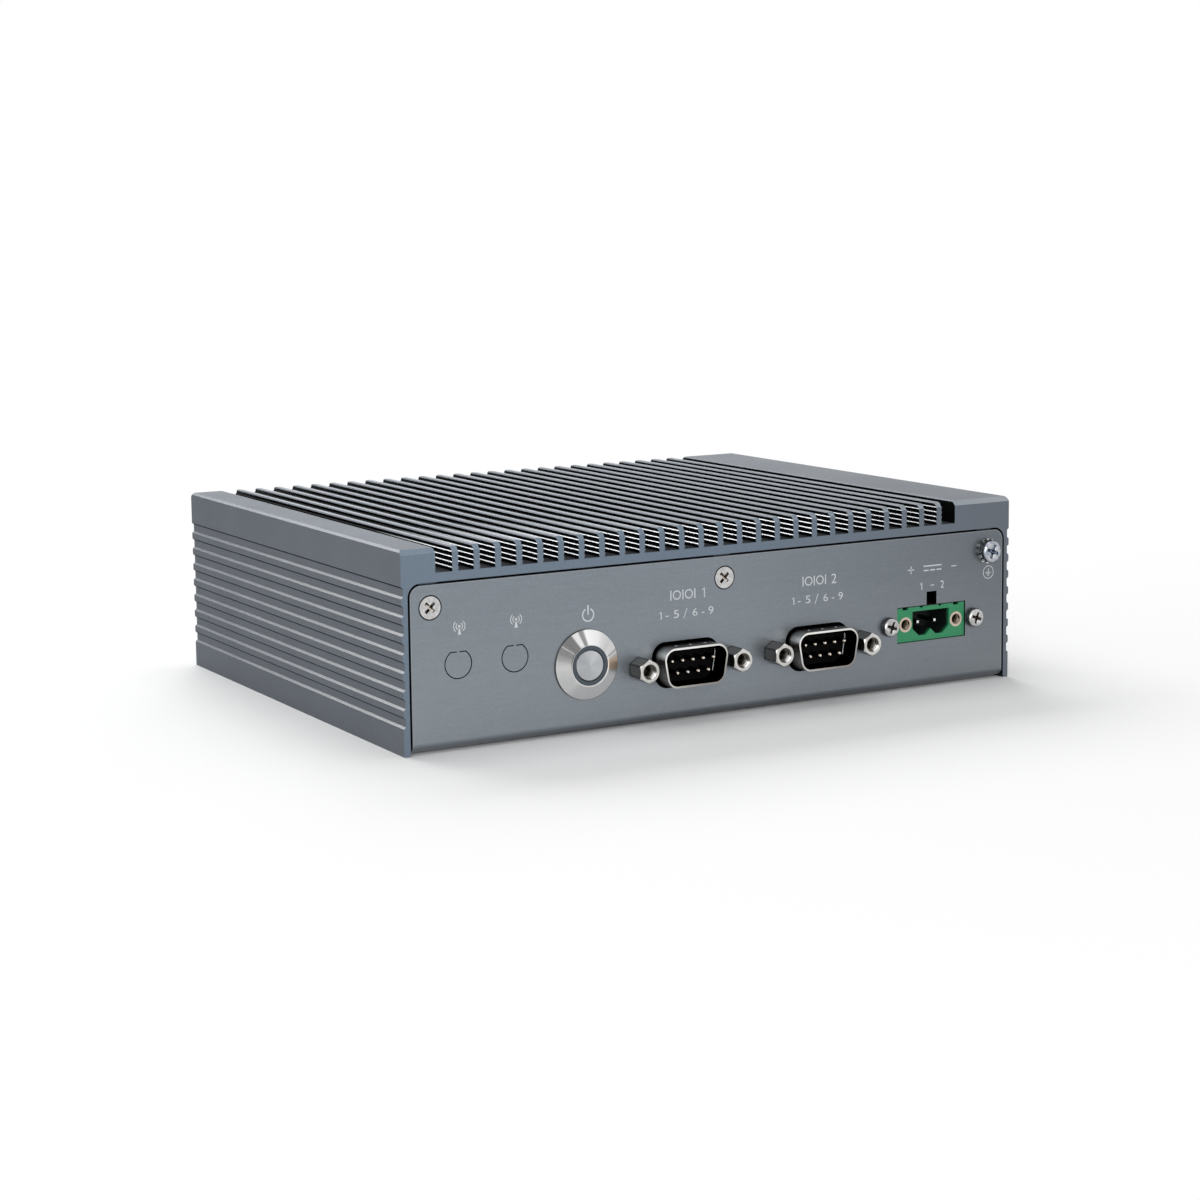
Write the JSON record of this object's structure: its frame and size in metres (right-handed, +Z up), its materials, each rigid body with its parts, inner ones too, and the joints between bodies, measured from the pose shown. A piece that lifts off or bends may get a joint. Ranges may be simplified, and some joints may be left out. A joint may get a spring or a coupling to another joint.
{
  "type": "fanless industrial computer",
  "caption": "Low fanless industrial computer in a finned aluminium housing, with push-button switch, serial ports and supply inlet in front and network, USB and video sockets behind.",
  "frame": {"origin": "middle of the whole part, on the plane that its side walls stand on", "axes": "+X right and +Z up as seen from the front panel, which faces -Y; +Y towards the rear panel"},
  "size_m": [0.165, 0.1316, 0.045],
  "materials": {
    "housing_finish": "fine bead-blasted, anodised blue grey",
    "panel_finish": "fine horizontal brushing",
    "screw_steel": "nickel plated",
    "bright_steel": "turned and polished",
    "light_ring": "satin, unlit",
    "black_plastic": "fine moulded",
    "contact_gold": "gold plated",
    "tin_contact": "tin plated",
    "plated_steel": "nickel plated",
    "green_plastic": "satin moulded",
    "board_green": "solder mask",
    "brass_post": "turned",
    "pad_grey": "soft",
    "block_aluminium": "milled",
    "choke_grey": "pressed powder",
    "can_aluminium": "satin",
    "chip_black": "moulded",
    "blue_plastic": "satin moulded"
  },
  "bodies": {
    "computer": {"block_screws": "screw_steel", "board_screws": "screw_steel", "board_standoffs": "brass_post", "capacitors": "can_aluminium", "cell_holder": "black_plastic", "chassis": "panel_finish", "coin_cell": "bright_steel", "controller_chips": "chip_black", "dc_header": "green_plastic", "dc_inserts": "plated_steel", "dc_pins": "tin_contact", "dc_screws": "screw_steel", "front_screws": "screw_steel", "ground_screw": "screw_steel", "ground_washer": "screw_steel", "heat_block": "block_aluminium", "housing": "housing_finish", "jackscrews": "plated_steel", "lan_1_contacts": "contact_gold", "lan_1_insert": "black_plastic", "lan_1_shell": "plated_steel", "lan_2_contacts": "contact_gold", "lan_2_insert": "black_plastic", "lan_2_shell": "plated_steel", "mainboard": "board_green", "memory_module": "board_green", "memory_socket": "black_plastic", "mount_nuts": "screw_steel", "power_chokes": "choke_grey", "processor": "board_green", "rear_screws": "screw_steel", "serial_1_insulator": "black_plastic", "serial_1_pins": "contact_gold", "serial_1_shell": "plated_steel", "serial_2_insulator": "black_plastic", "serial_2_pins": "contact_gold", "serial_2_shell": "plated_steel", "ssd_module": "board_green", "ssd_screw": "screw_steel", "ssd_socket": "black_plastic", "ssd_standoff": "brass_post", "switch_base": "black_plastic", "switch_bezel": "bright_steel", "switch_lugs": "contact_gold", "switch_nut": "screw_steel", "switch_ring": "light_ring", "switch_spring": "screw_steel", "thermal_pads": "pad_grey", "usb_1_contacts": "contact_gold", "usb_1_shell": "plated_steel", "usb_1_tongues": "blue_plastic", "usb_2_contacts": "contact_gold", "usb_2_shell": "plated_steel", "usb_2_tongues": "blue_plastic", "video_1_shell": "plated_steel", "video_1_tongue": "black_plastic", "video_2_shell": "plated_steel", "video_2_tongue": "black_plastic"},
    "button": {"power_button": "bright_steel"}
  },
  "joints": [
    {"name": "power_press", "type": "slide", "parent": "computer", "child": "button", "axis": [0, 1, 0], "range_m": [0, 0.0015], "stiffness_N_per_m": 1500, "springref_m": -0.002, "deforming": ["switch_spring"]}
  ]
}
